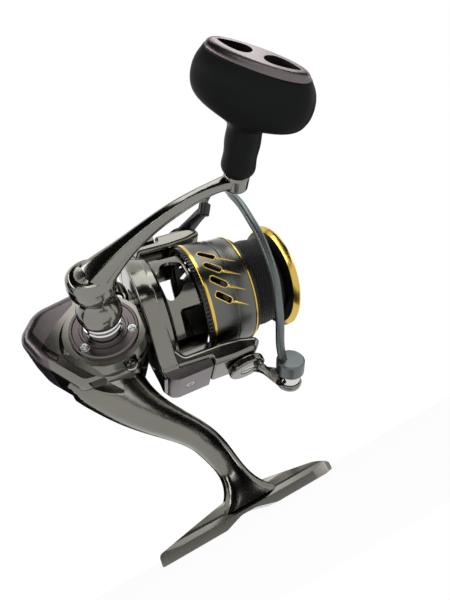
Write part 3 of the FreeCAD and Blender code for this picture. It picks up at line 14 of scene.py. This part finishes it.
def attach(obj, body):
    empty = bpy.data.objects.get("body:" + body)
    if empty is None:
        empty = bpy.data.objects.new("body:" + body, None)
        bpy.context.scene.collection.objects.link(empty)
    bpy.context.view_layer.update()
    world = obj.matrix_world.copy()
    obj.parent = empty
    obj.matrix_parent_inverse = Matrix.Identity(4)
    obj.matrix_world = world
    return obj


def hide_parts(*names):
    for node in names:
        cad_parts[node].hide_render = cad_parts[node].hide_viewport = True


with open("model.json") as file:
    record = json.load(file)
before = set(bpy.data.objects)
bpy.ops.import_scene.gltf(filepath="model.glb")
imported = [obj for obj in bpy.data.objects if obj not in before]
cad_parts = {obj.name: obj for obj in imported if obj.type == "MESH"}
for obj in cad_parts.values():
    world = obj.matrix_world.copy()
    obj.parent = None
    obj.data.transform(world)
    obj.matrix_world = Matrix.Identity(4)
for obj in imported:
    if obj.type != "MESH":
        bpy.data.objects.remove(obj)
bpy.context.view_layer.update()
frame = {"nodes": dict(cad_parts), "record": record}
nodes = frame["nodes"]
slot_of = {part["node"]: part["material_slot"] for part in frame["record"]["subparts"]}
body_of = {}
for body, members in frame["record"]["behaviour"]["bodies"].items():
    for member in members:
        body_of[member] = body
print("nodes", len(nodes))

# %% [markdown]
# Sizes that several pieces share.  The reel is small, so they are written in
# millimetres and turned into metres where a mesh is made.

# %% Shared sizes
MM = 0.001
AXIS_Z = 89.0 * MM                       # the spool turns about this height
SPOOL_CENTRE = Vector((0, 0, AXIS_Z))

# %% [markdown]
# A finish is a node tree.  Written node by node, shader maths gets long, so a
# small class wraps an output socket and overloads the Python operators: an
# expression such as `1 - mask * 0.5` then adds its own Math nodes.

# %% Signals: sockets that do arithmetic
class Signal:
    def __init__(self, finish, socket):
        self.finish = finish
        self.socket = socket

    def maths(self, operation, left, right=0.0):
        return self.finish.node("ShaderNodeMath", {"operation": operation}, {0: left, 1: right})

    def __add__(self, other):
        return self.maths("ADD", self, other)

    def __sub__(self, other):
        return self.maths("SUBTRACT", self, other)

    def __rsub__(self, other):
        return self.maths("SUBTRACT", other, self)

    def __mul__(self, other):
        return self.maths("MULTIPLY", self, other)

    def sine(self):
        return self.maths("SINE", self)


class Finish:
    """One material and the helpers that fill its node tree."""

    def __init__(self, name):
        self.material = bpy.data.materials.new(name)
        self.material.use_nodes = True
        self.tree = self.material.node_tree
        self.tree.nodes.clear()
        self.shader = self.tree.nodes.new("ShaderNodeBsdfPrincipled")
        output = self.tree.nodes.new("ShaderNodeOutputMaterial")
        self.tree.links.new(self.shader.outputs[0], output.inputs[0])

    def feed(self, node, sockets):
        for key, value in sockets.items():
            if isinstance(value, Signal):
                self.tree.links.new(value.socket, node.inputs[key])
            else:
                node.inputs[key].default_value = value

    def node(self, kind, settings, sockets, output=0):
        made = self.tree.nodes.new(kind)
        for key, value in settings.items():
            if key == "stops":
                self.set_stops(made.color_ramp, value)
            else:
                setattr(made, key, value)
        self.feed(made, sockets)
        return Signal(self, made.outputs[output])

    def set_stops(self, ramp, stops):
        while len(ramp.elements) < len(stops):
            ramp.elements.new(0.5)
        for element, (place, shade) in zip(ramp.elements, stops):
            element.position = place
            element.color = (shade, shade, shade, 1)

    def surface(self, **sockets):
        names = {key: key.replace("_", " ") for key in sockets}
        self.feed(self.shader, {names[key]: value for key, value in sockets.items()})
        return self.material

    def place(self):
        return self.node("ShaderNodeTexCoord", {}, {}, "Object")

    def speckle(self, scale, detail=2.0, stretch=None):
        """Noise from 0 to 1; scale is in lumps per metre."""
        where = self.place()
        if stretch:
            where = self.node("ShaderNodeMapping", {}, {"Vector": where, "Scale": stretch})
        return self.node("ShaderNodeTexNoise", {}, {"Vector": where, "Scale": scale, "Detail": detail})

    def step(self, value, low, high):
        """0 below low, 1 above high, smooth between."""
        return self.node("ShaderNodeMapRange", {"interpolation_type": "SMOOTHSTEP"},
                         {"Value": value, "From Min": low, "From Max": high})

    def tint(self, share, first, second):
        """Colour from first to second as share goes from 0 to 1."""
        return self.node("ShaderNodeMix", {"data_type": "RGBA"},
                         {0: share, 6: first, 7: second}, 2)

    def bump(self, height, strength, distance):
        sockets = {"Height": height, "Strength": strength, "Distance": distance}
        return self.node("ShaderNodeBump", {}, sockets)

    def radius_from(self, centre, flat):
        """Distance from a turning axis, in metres; flat zeroes the axis direction."""
        moved = self.node("ShaderNodeVectorMath", {"operation": "SUBTRACT"}, {0: self.place(), 1: centre})
        flattened = self.node("ShaderNodeVectorMath", {"operation": "MULTIPLY"}, {0: moved, 1: flat})
        return self.node("ShaderNodeVectorMath", {"operation": "LENGTH"}, {0: flattened}, "Value")

    def along(self, axis):
        """One Object coordinate, in metres."""
        return self.node("ShaderNodeSeparateXYZ", {}, {0: self.place()}, axis)


# %% [markdown]
# Most of the reel is cast metal under a thin dark chrome.  A metal's colour is
# what it reflects, so Metallic is 1 and the base colour is dark.  Handling
# leaves smears and hair-fine scratches: smears change the roughness slowly, and
# scratches are stretched noise in a bump.

# %% Metal finishes
def metal(name, dark, light, roughness, smear=0.08, scratch=0.06, grain=0.0):
    finish = Finish(name)
    cloud = finish.speckle(60, 4)
    hairs = finish.speckle(700, 3, (1, 9, 3))
    crumbs = finish.speckle(9000, 2)
    gloss = finish.step(cloud, 0.35, 0.7) * smear + hairs * (smear * 0.5) + (roughness - smear * 0.4)
    height = hairs * scratch + crumbs * grain
    return finish.surface(Base_Color=finish.tint(cloud, dark + (1,), light + (1,)), Metallic=1.0,
                          Roughness=gloss, Normal=finish.bump(height, 0.12, 0.00001))


metals = {
    "gunmetal": metal("dark_chrome", (0.17, 0.165, 0.145), (0.24, 0.232, 0.205), 0.15, 0.05),
    "gunmetal_purple": metal("purple_gunmetal", (0.13, 0.11, 0.113), (0.18, 0.155, 0.158),
                             0.28, 0.08, 0.15, 0.3),
    "handle_chrome": metal("handle_chrome", (0.2, 0.196, 0.178), (0.27, 0.262, 0.24), 0.14, 0.04),
    "bright_chrome": metal("bright_chrome", (0.62, 0.62, 0.61), (0.72, 0.72, 0.71), 0.08, 0.04),
    "satin_silver": metal("satin_silver", (0.12, 0.136, 0.136), (0.17, 0.19, 0.19), 0.34, 0.06, 0.3, 0.3),
    "steel": metal("ground_steel", (0.45, 0.45, 0.44), (0.56, 0.56, 0.55), 0.24, 0.08),
    "screw_steel": metal("screw_steel", (0.36, 0.36, 0.34), (0.46, 0.46, 0.44), 0.2, 0.06),
    "brass": metal("brass", (0.62, 0.45, 0.2), (0.74, 0.56, 0.28), 0.2, 0.06),
    "zinc": metal("cast_zinc", (0.38, 0.38, 0.39), (0.48, 0.48, 0.5), 0.42, 0.1, 0.1, 1.0),
}
print("metals", len(metals))

# %% [markdown]
# The spool is turned on a lathe, which leaves rings too fine to count.  Rings
# depend only on the distance from the axis and the place along it, so a wave of
# those two numbers draws them on every face of a turned piece.

# %% Turned finishes
def turned_finish(name, dark, light, roughness, metallic, rings, depth):
    finish = Finish(name)
    reach = finish.radius_from(SPOOL_CENTRE, (0, 1, 1))
    wave = ((reach + finish.along("X")) * rings).sine()
    cloud = finish.speckle(70, 3)
    uneven = finish.speckle(2500, 2, (3, 1, 1))
    gloss = finish.step(cloud, 0.3, 0.7) * 0.07 + (roughness - 0.03) + uneven * 0.05
    return finish.surface(Base_Color=finish.tint(cloud, dark + (1,), light + (1,)), Metallic=metallic,
                          Roughness=gloss, Normal=finish.bump(wave + uneven, depth, 0.00001))


turned = {
    "gold": turned_finish("gold_anodised", (0.62, 0.42, 0.075), (0.78, 0.56, 0.13), 0.17, 1.0, 16000, 0.06),
    "spool_black": turned_finish("black_anodised", (0.01, 0.01, 0.0105), (0.016, 0.016, 0.0165),
                                 0.32, 0.6, 14000, 0.15),
    "skirt_grey": turned_finish("satin_grey", (0.12, 0.12, 0.112), (0.15, 0.15, 0.14),
                                0.24, 1.0, 18000, 0.12),
}
print("turned finishes", len(turned))

# %% [markdown]
# The soft grip is a matte rubber: almost black, rough, with a fine pebble.  The
# hard plastics are darker and glossier, and felt has a loose fibre.

# %% Plastic and fibre finishes
def plastic(name, dark, light, roughness, pebble_scale, pebble, shine=0.5):
    finish = Finish(name)
    cloud = finish.speckle(90, 3)
    pebbles = finish.speckle(pebble_scale, 3)
    rub = finish.step(finish.speckle(220, 5), 0.5, 0.75)
    return finish.surface(Base_Color=finish.tint(cloud, dark + (1,), light + (1,)),
                          Specular_IOR_Level=shine,
                          Roughness=pebbles * 0.08 - rub * 0.06 + roughness,
                          Normal=finish.bump(pebbles, pebble, 0.00006))


plastics = {
    "knob_rubber": plastic("soft_rubber", (0.0035, 0.0042, 0.004), (0.006, 0.007, 0.0066),
                           0.48, 5200, 0.3, 0.12),
    "black_plastic": plastic("black_plastic", (0.008, 0.008, 0.009), (0.014, 0.014, 0.015), 0.2, 3000, 0.1),
    "grey_plastic": plastic("grey_plastic", (0.28, 0.28, 0.29), (0.36, 0.36, 0.37), 0.4, 3000, 0.2),
    "felt": plastic("drag_felt", (0.22, 0.21, 0.19), (0.34, 0.33, 0.3), 0.85, 6000, 1.0),
}


BRAID_RIPPLES = 26        # per radian round the spool
BRAID_LAY = 5200          # radians of weave per metre along the spool
RIPPLE_DEPTH = 2.6        # radians that a ripple shifts the weave


def braid_finish():
    """Black braided line: a herringbone of glossy and dull strands."""
    finish = Finish("braided_line")
    across = finish.along("X")
    split = finish.node("ShaderNodeVectorMath", {"operation": "SUBTRACT"},
                        {0: finish.place(), 1: SPOOL_CENTRE})
    y_place = finish.node("ShaderNodeSeparateXYZ", {}, {0: split}, "Y")
    z_place = finish.node("ShaderNodeSeparateXYZ", {}, {0: split}, "Z")
    turn = y_place.maths("ARCTAN2", y_place, z_place)
    ripple = (turn * BRAID_RIPPLES).sine()
    strands = (across * BRAID_LAY + ripple * RIPPLE_DEPTH).sine()
    lumps = finish.speckle(1800, 3)
    share = finish.step(strands + lumps, -0.2, 1.6)
    colour = finish.tint(share, (0.0025, 0.0025, 0.003, 1), (0.009, 0.009, 0.0095, 1))
    return finish.surface(Base_Color=colour, Specular_IOR_Level=0.16, Roughness=0.6 - share * 0.2,
                          Normal=finish.bump(strands + lumps, 0.7, 0.00012))


finishes = {**metals, **turned, **plastics, "line_braid": braid_finish()}
print("finishes", sorted(finishes))

# %% [markdown]
# A CAD mesh arrives as separate triangles, each shaded flat, and polished metal
# shows every one.  A copy with its doubles merged can be shaded smooth, with
# the real corners kept sharp wherever two faces meet at a large angle.  The
# weighted normals keep a flat face flat right up to its rounded edge.

# %% Smooth copies of CAD nodes
MERGE = 0.002 * MM
CORNER = math.radians(32)                # faces that meet at more than this stay sharp
LOFT_CORNER = math.radians(60)           # a curved loft has steep edges inside it


def show(piece, body, slot):
    piece.data.materials.clear()
    piece.data.materials.append(finishes[slot])
    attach(piece, body)
    return piece


LOFTED = ("handle_arm", "knob_grip", "bail_wire", "bail_bracket", "bail_arm")


def smooth_copy(node):
    mesh = nodes[node].data.copy()
    piece = bpy.data.objects.new(node + "_finished", mesh)
    bpy.context.scene.collection.objects.link(piece)
    work = bmesh.new()
    work.from_mesh(mesh)
    bmesh.ops.remove_doubles(work, verts=work.verts, dist=MERGE)
    bmesh.ops.dissolve_degenerate(work, edges=work.edges, dist=MERGE)
    corner = LOFT_CORNER if node in LOFTED else CORNER
    for edge in work.edges:
        edge.smooth = len(edge.link_faces) == 2 and edge.calc_face_angle(0) < corner
    for face in work.faces:
        face.smooth = True
    work.to_mesh(mesh)
    work.free()
    weigh = piece.modifiers.new("weighted_normals", "WEIGHTED_NORMAL")
    weigh.keep_sharp = True
    weigh.mode = "FACE_AREA_WITH_ANGLE"
    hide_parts(node)
    return show(piece, body_of[node], slot_of[node])


for node in sorted(nodes):
    smooth_copy(node)

# %% [markdown]
# The skirt's slots have gold frames that run out into long thin points.  Each
# is drawn flat as an outline, given a thickness, and then wrapped round the
# skirt: across turns into an angle, and along stays along.

# %% Gold frames round the skirt's slots
SLOT_X = 20.7 * MM
SLOT_HALF = 3.9 * MM
SLOT_WIDE = 2.5 * MM
SLOT_SLOPE = math.radians(41)
SLOT_ANGLES = (-36, -21, -6, 9)
SLOT_GROUPS = 3
SKIRT_REAR = (13.7 * MM, 26.6 * MM)      # place along X and radius
SKIRT_FRONT = (35.4 * MM, 25.6 * MM)
FRAME_WIDE = 0.42 * MM
FRAME_RISE = 0.1 * MM
FRAME_SINK = -0.1 * MM                   # a frame's hidden edge, inside the skirt's wall
TAIL_LENGTH = 8.4 * MM
TAIL_BEND = 0.22                         # sideways run of a tail for its length
TAIL_ROOT = 0.6 * MM                     # half width of a tail where it starts, beyond its tip's
TAIL_TIP = 0.07 * MM
TAIL_STATIONS = 8


def skirt_radius(x):
    share = (x - SKIRT_REAR[0]) / (SKIRT_FRONT[0] - SKIRT_REAR[0])
    return SKIRT_REAR[1] + share * (SKIRT_FRONT[1] - SKIRT_REAR[1])


def frame_outline(grow):
    """Rounded slot outline in its own plane, grow metres outside the slot."""
    half = SLOT_HALF + grow
    wide = SLOT_WIDE / 2 + grow
    points = []
    corners = ((half, wide, 0), (-half, wide, 90), (-half, -wide, 180), (half, -wide, 270))
    for corner_x, corner_y, start in corners:
        soft = 0.9 * wide
        middle = Vector((corner_x - math.copysign(soft, corner_x), corner_y - math.copysign(soft, corner_y)))
        for step in range(4):
            angle = math.radians(start + 30 * step)
            points.append(middle + Vector((math.cos(angle), math.sin(angle))) * soft)
    return points


def wrap_on_skirt(point, around, lift):
    """Flat slot plane to the skirt: slope it, then roll it round the axis."""
    x = SLOT_X + point.x * math.cos(SLOT_SLOPE) + point.y * math.sin(SLOT_SLOPE)
    across = -point.x * math.sin(SLOT_SLOPE) + point.y * math.cos(SLOT_SLOPE)
    radius = skirt_radius(x) + lift
    angle = around + across / skirt_radius(SLOT_X)
    return Vector((x, -radius * math.cos(angle), AXIS_Z + radius * math.sin(angle)))


def add_frame(work, around):
    rings = []
    for grow, lift in ((-0.02 * MM, FRAME_SINK), (0.02 * MM, FRAME_RISE), (FRAME_WIDE, FRAME_RISE),
                       (FRAME_WIDE + 0.06 * MM, FRAME_SINK)):
        outline = frame_outline(grow)
        rings.append([work.verts.new(wrap_on_skirt(point, around, lift)) for point in outline])
    for inner, outer in zip(rings, rings[1:]):
        count = len(inner)
        for i in range(count):
            j = (i + 1) % count
            work.faces.new((inner[i], inner[j], outer[j], outer[i]))


def add_tail(work, around):
    """Tapered point that runs forward from the frame's front end."""
    rows = []
    for step in range(TAIL_STATIONS + 1):
        share = step / TAIL_STATIONS
        x = SLOT_HALF + FRAME_WIDE * 0.5 + TAIL_LENGTH * share
        bend = TAIL_LENGTH * TAIL_BEND * share
        half = TAIL_ROOT * (1 - share) + TAIL_TIP
        row = []
        for side, lift in ((-1, FRAME_SINK), (-0.9, FRAME_RISE), (0.9, FRAME_RISE), (1, FRAME_SINK)):
            point = Vector((x, bend + side * half))
            row.append(work.verts.new(wrap_on_skirt(point, around, lift)))
        rows.append(row)
    for near, far in zip(rows, rows[1:]):
        for i in range(3):
            work.faces.new((near[i], far[i], far[i + 1], near[i + 1]))
    work.faces.new(rows[0])
    work.faces.new(list(reversed(rows[-1])))


def make_slot_frames():
    work = bmesh.new()
    for group in range(SLOT_GROUPS):
        for angle in SLOT_ANGLES:
            around = math.radians(angle - 360 / SLOT_GROUPS * group)
            add_frame(work, around)
            add_tail(work, around)
    bmesh.ops.recalc_face_normals(work, faces=work.faces)
    for face in work.faces:
        face.smooth = True
    mesh = bpy.data.meshes.new("slot_frames")
    work.to_mesh(mesh)
    work.free()
    piece = bpy.data.objects.new("slot_frames", mesh)
    bpy.context.scene.collection.objects.link(piece)
    show(piece, "spool", "gold")
    print("slot frames", SLOT_GROUPS * len(SLOT_ANGLES))


make_slot_frames()

# %% [markdown]
# A plain pale floor carries the reel's shadow.  Seen directly, or mirrored in
# metal, the floor and the world are nearly white, which Light Path's camera,
# glossy and transmission rays give without more light on the object.

# %% Floor and world
FLOOR_HALF = 3.0
FLOOR_DROP = 0.3 * MM                    # keeps the floor clear of the foot's underside
FLOOR_GLOW = 0.94
WORLD_ON_SURFACES = 0.45
WORLD_SEEN = 1.0


def seen_directly(finish):
    path = finish.tree.nodes.new("ShaderNodeLightPath")
    camera = Signal(finish, path.outputs["Is Camera Ray"])
    glossy = Signal(finish, path.outputs["Is Glossy Ray"])
    through = Signal(finish, path.outputs["Is Transmission Ray"])
    both = camera.maths("MAXIMUM", camera, glossy)
    return both.maths("MAXIMUM", both, through)


def floor_finish():
    finish = Finish("pale_floor")
    finish.surface(Base_Color=(0.86, 0.86, 0.86, 1), Roughness=0.9)
    glow = finish.tree.nodes.new("ShaderNodeEmission")
    mix = finish.tree.nodes.new("ShaderNodeMixShader")
    output = finish.tree.nodes["Material Output"]
    share = seen_directly(finish) * FLOOR_GLOW
    finish.tree.links.new(share.socket, mix.inputs[0])
    finish.tree.links.new(finish.shader.outputs[0], mix.inputs[1])
    finish.tree.links.new(glow.outputs[0], mix.inputs[2])
    finish.tree.links.new(mix.outputs[0], output.inputs[0])
    return finish.material


def make_floor():
    work = bmesh.new()
    bmesh.ops.create_grid(work, x_segments=2, y_segments=2, size=FLOOR_HALF)
    bmesh.ops.translate(work, verts=work.verts, vec=(0, 0, -FLOOR_DROP))
    mesh = bpy.data.meshes.new("floor")
    work.to_mesh(mesh)
    work.free()
    floor = bpy.data.objects.new("floor", mesh)
    bpy.context.scene.collection.objects.link(floor)
    mesh.materials.append(floor_finish())


make_floor()


def make_world():
    world = bpy.data.worlds.new("studio")
    bpy.context.scene.world = world
    world.use_nodes = True
    tree = world.node_tree
    background = tree.nodes["Background"]
    background.inputs["Color"].default_value = (1, 1, 1, 1)
    path = tree.nodes.new("ShaderNodeLightPath")
    first = tree.nodes.new("ShaderNodeMath")
    first.operation = "MAXIMUM"
    second = tree.nodes.new("ShaderNodeMath")
    second.operation = "MAXIMUM"
    level = tree.nodes.new("ShaderNodeMapRange")
    level.inputs["To Min"].default_value = WORLD_ON_SURFACES
    level.inputs["To Max"].default_value = WORLD_SEEN
    tree.links.new(path.outputs["Is Camera Ray"], first.inputs[0])
    tree.links.new(path.outputs["Is Glossy Ray"], first.inputs[1])
    tree.links.new(first.outputs[0], second.inputs[0])
    tree.links.new(path.outputs["Is Transmission Ray"], second.inputs[1])
    tree.links.new(second.outputs[0], level.inputs["Value"])
    tree.links.new(level.outputs[0], background.inputs["Strength"])


make_world()

# %% [markdown]
# Polished metal shows its surroundings more than itself.  In a studio it stands
# in a dark tent with a few narrow soft boxes, so that it turns black with bright
# streaks.  The tent here doesn't show and casts no shadow: only mirrored rays
# see it.

# %% Lamps and dark tent
FOCUS = Vector((0, -15, 80)) * MM
PICTURE_UP = Vector((0.28512, -0.57797, 0.76463))
PICTURE_AHEAD = Vector((0.36007, 0.80390, 0.47338))
PICTURE_RIGHT = Vector((0.88829, -0.14035, -0.43732))
TENT_RADIUS = 0.95


def aimed(place):
    """Matrix of something at place that looks at the reel."""
    away = (place - FOCUS).normalized()
    side = Vector((0, 0, 1)).cross(away).normalized()
    up = away.cross(side)
    turn = Matrix((side, up, away)).transposed().to_4x4()
    return Matrix.Translation(place) @ turn


def soft_box(name, right, up, ahead, distance, width, height, brightness):
    """Lamp whose face is so many times as bright as white paper."""
    light = bpy.data.lights.new(name, "AREA")
    light.shape = "RECTANGLE"
    light.size = width
    light.size_y = height
    light.energy = brightness * math.pi * width * height
    lamp = bpy.data.objects.new(name, light)
    bpy.context.scene.collection.objects.link(lamp)
    direction = (PICTURE_RIGHT * right + PICTURE_UP * up + PICTURE_AHEAD * ahead).normalized()
    lamp.matrix_world = aimed(FOCUS + direction * distance)


def tent_panel(name, keep, shade):
    """Piece of a dark sphere, cut by planes given as (point factor, outward normal)."""
    work = bmesh.new()
    bmesh.ops.create_icosphere(work, subdivisions=5, radius=TENT_RADIUS)
    for reach, normal in keep:
        bmesh.ops.bisect_plane(work, geom=work.verts[:] + work.edges[:] + work.faces[:],
                               plane_co=normal * (reach * TENT_RADIUS), plane_no=normal, clear_outer=True)
    bmesh.ops.translate(work, verts=work.verts, vec=FOCUS)
    bmesh.ops.reverse_faces(work, faces=work.faces)
    mesh = bpy.data.meshes.new(name)
    work.to_mesh(mesh)
    work.free()
    finish = Finish(name)
    mesh.materials.append(finish.surface(Base_Color=(shade, shade, shade, 1), Roughness=1.0,
                                         Specular_IOR_Level=0.0))
    panel = bpy.data.objects.new(name, mesh)
    bpy.context.scene.collection.objects.link(panel)
    panel.visible_camera = False
    panel.visible_shadow = False
    panel.visible_diffuse = False


TENT_BEHIND = Vector((-0.2, -0.95, 0.1)).normalized()
tent_panel("tent_front", [(0.05, PICTURE_AHEAD)], 0.006)
tent_panel("tent_back", [(-0.35, TENT_BEHIND), (0.45, Vector((0, 0, 1)))], 0.01)
soft_box("top_box", 0.0, 1.0, -0.15, 0.6, 0.5, 0.3, 2.6)
soft_box("left_strip", -1.0, 0.25, -0.35, 0.6, 0.1, 0.6, 4.5)
soft_box("right_strip", 1.0, 0.35, -0.3, 0.6, 0.09, 0.6, 4.0)
soft_box("front_strip", -0.15, 0.62, -1.0, 0.6, 0.5, 0.05, 3.2)
soft_box("back_box", -0.2, 0.2, 1.0, 0.7, 0.3, 0.5, 1.2)

# %% [markdown]
# The camera stands close, a little below the spool and on the handle's side, so
# the lens is wide.  Its matrix is written from its right, up and back
# directions.

# %% Camera
camera_data = bpy.data.cameras.new("camera")
camera_data.sensor_width = 36
camera_data.lens = 22.449
camera_data.shift_x = -0.01469
camera_data.shift_y = -0.02018
camera_data.clip_start = 0.01
camera = bpy.data.objects.new("camera", camera_data)
bpy.context.scene.collection.objects.link(camera)
basis = Matrix((PICTURE_RIGHT, PICTURE_UP, -PICTURE_AHEAD)).transposed().to_4x4()
camera.matrix_world = Matrix.Translation(Vector((-30.08, -147.84, 1.87)) * MM) @ basis
bpy.context.scene.camera = camera
bpy.context.scene.view_settings.view_transform = "Standard"
